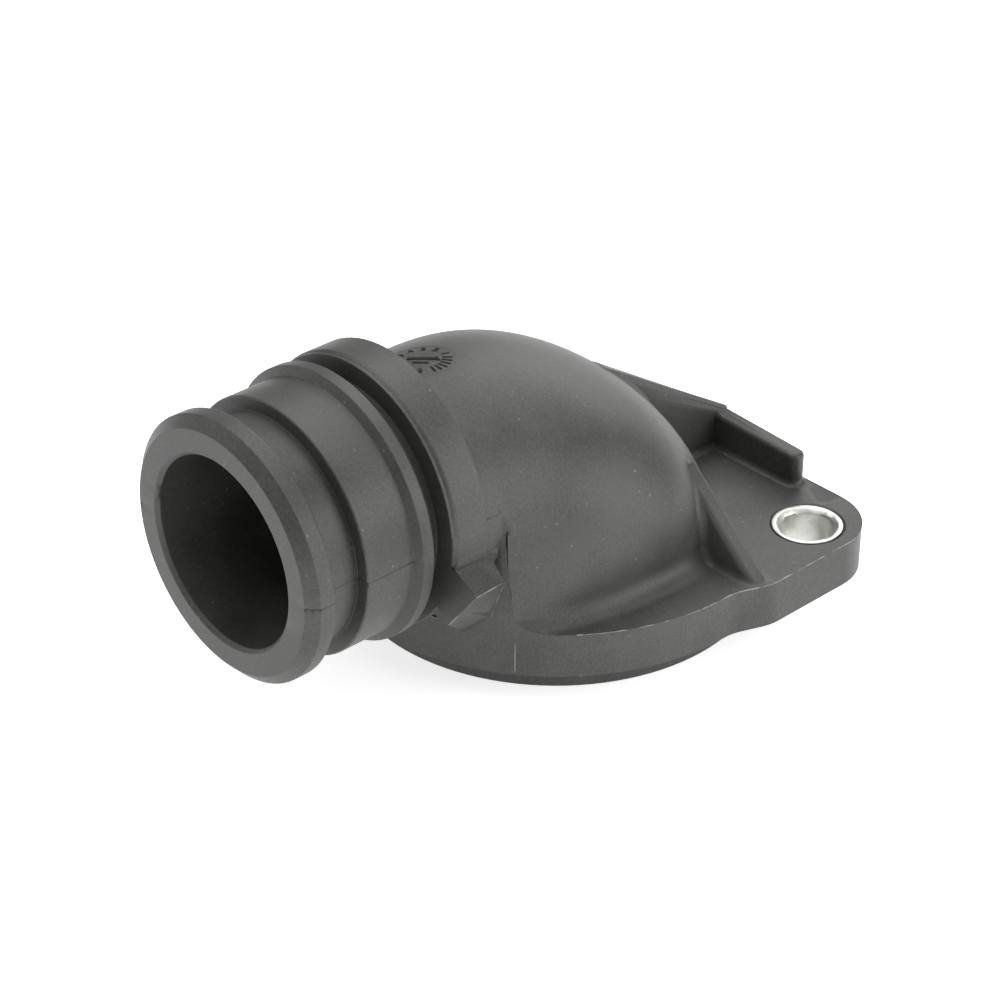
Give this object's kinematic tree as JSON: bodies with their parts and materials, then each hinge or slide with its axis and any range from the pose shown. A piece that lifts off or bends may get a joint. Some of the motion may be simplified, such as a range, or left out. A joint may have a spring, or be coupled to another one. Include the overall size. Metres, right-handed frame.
{
  "type": "thermostat housing",
  "caption": "Moulded plastic elbow that caps an engine's coolant valve: round flange with sleeved bolt ears, domed bend, webs and a level grooved neck for a hose coupling.",
  "frame": {"origin": "centre of the round flange, in the plane of its face on the engine", "axes": "+Z away from the engine, square to the flange; the neck points along -Y; +X to the right seen from the neck"},
  "size_m": [0.0766, 0.0991, 0.0509],
  "materials": {
    "moulded_plastic": "dark grey glass filled plastic, satin as moulded",
    "plated_steel": "bright zinc plated"
  },
  "bodies": {
    "root": {"housing_body": "moulded_plastic", "bolt_sleeve_front": "plated_steel", "bolt_sleeve_rear": "plated_steel"}
  },
  "joints": []
}
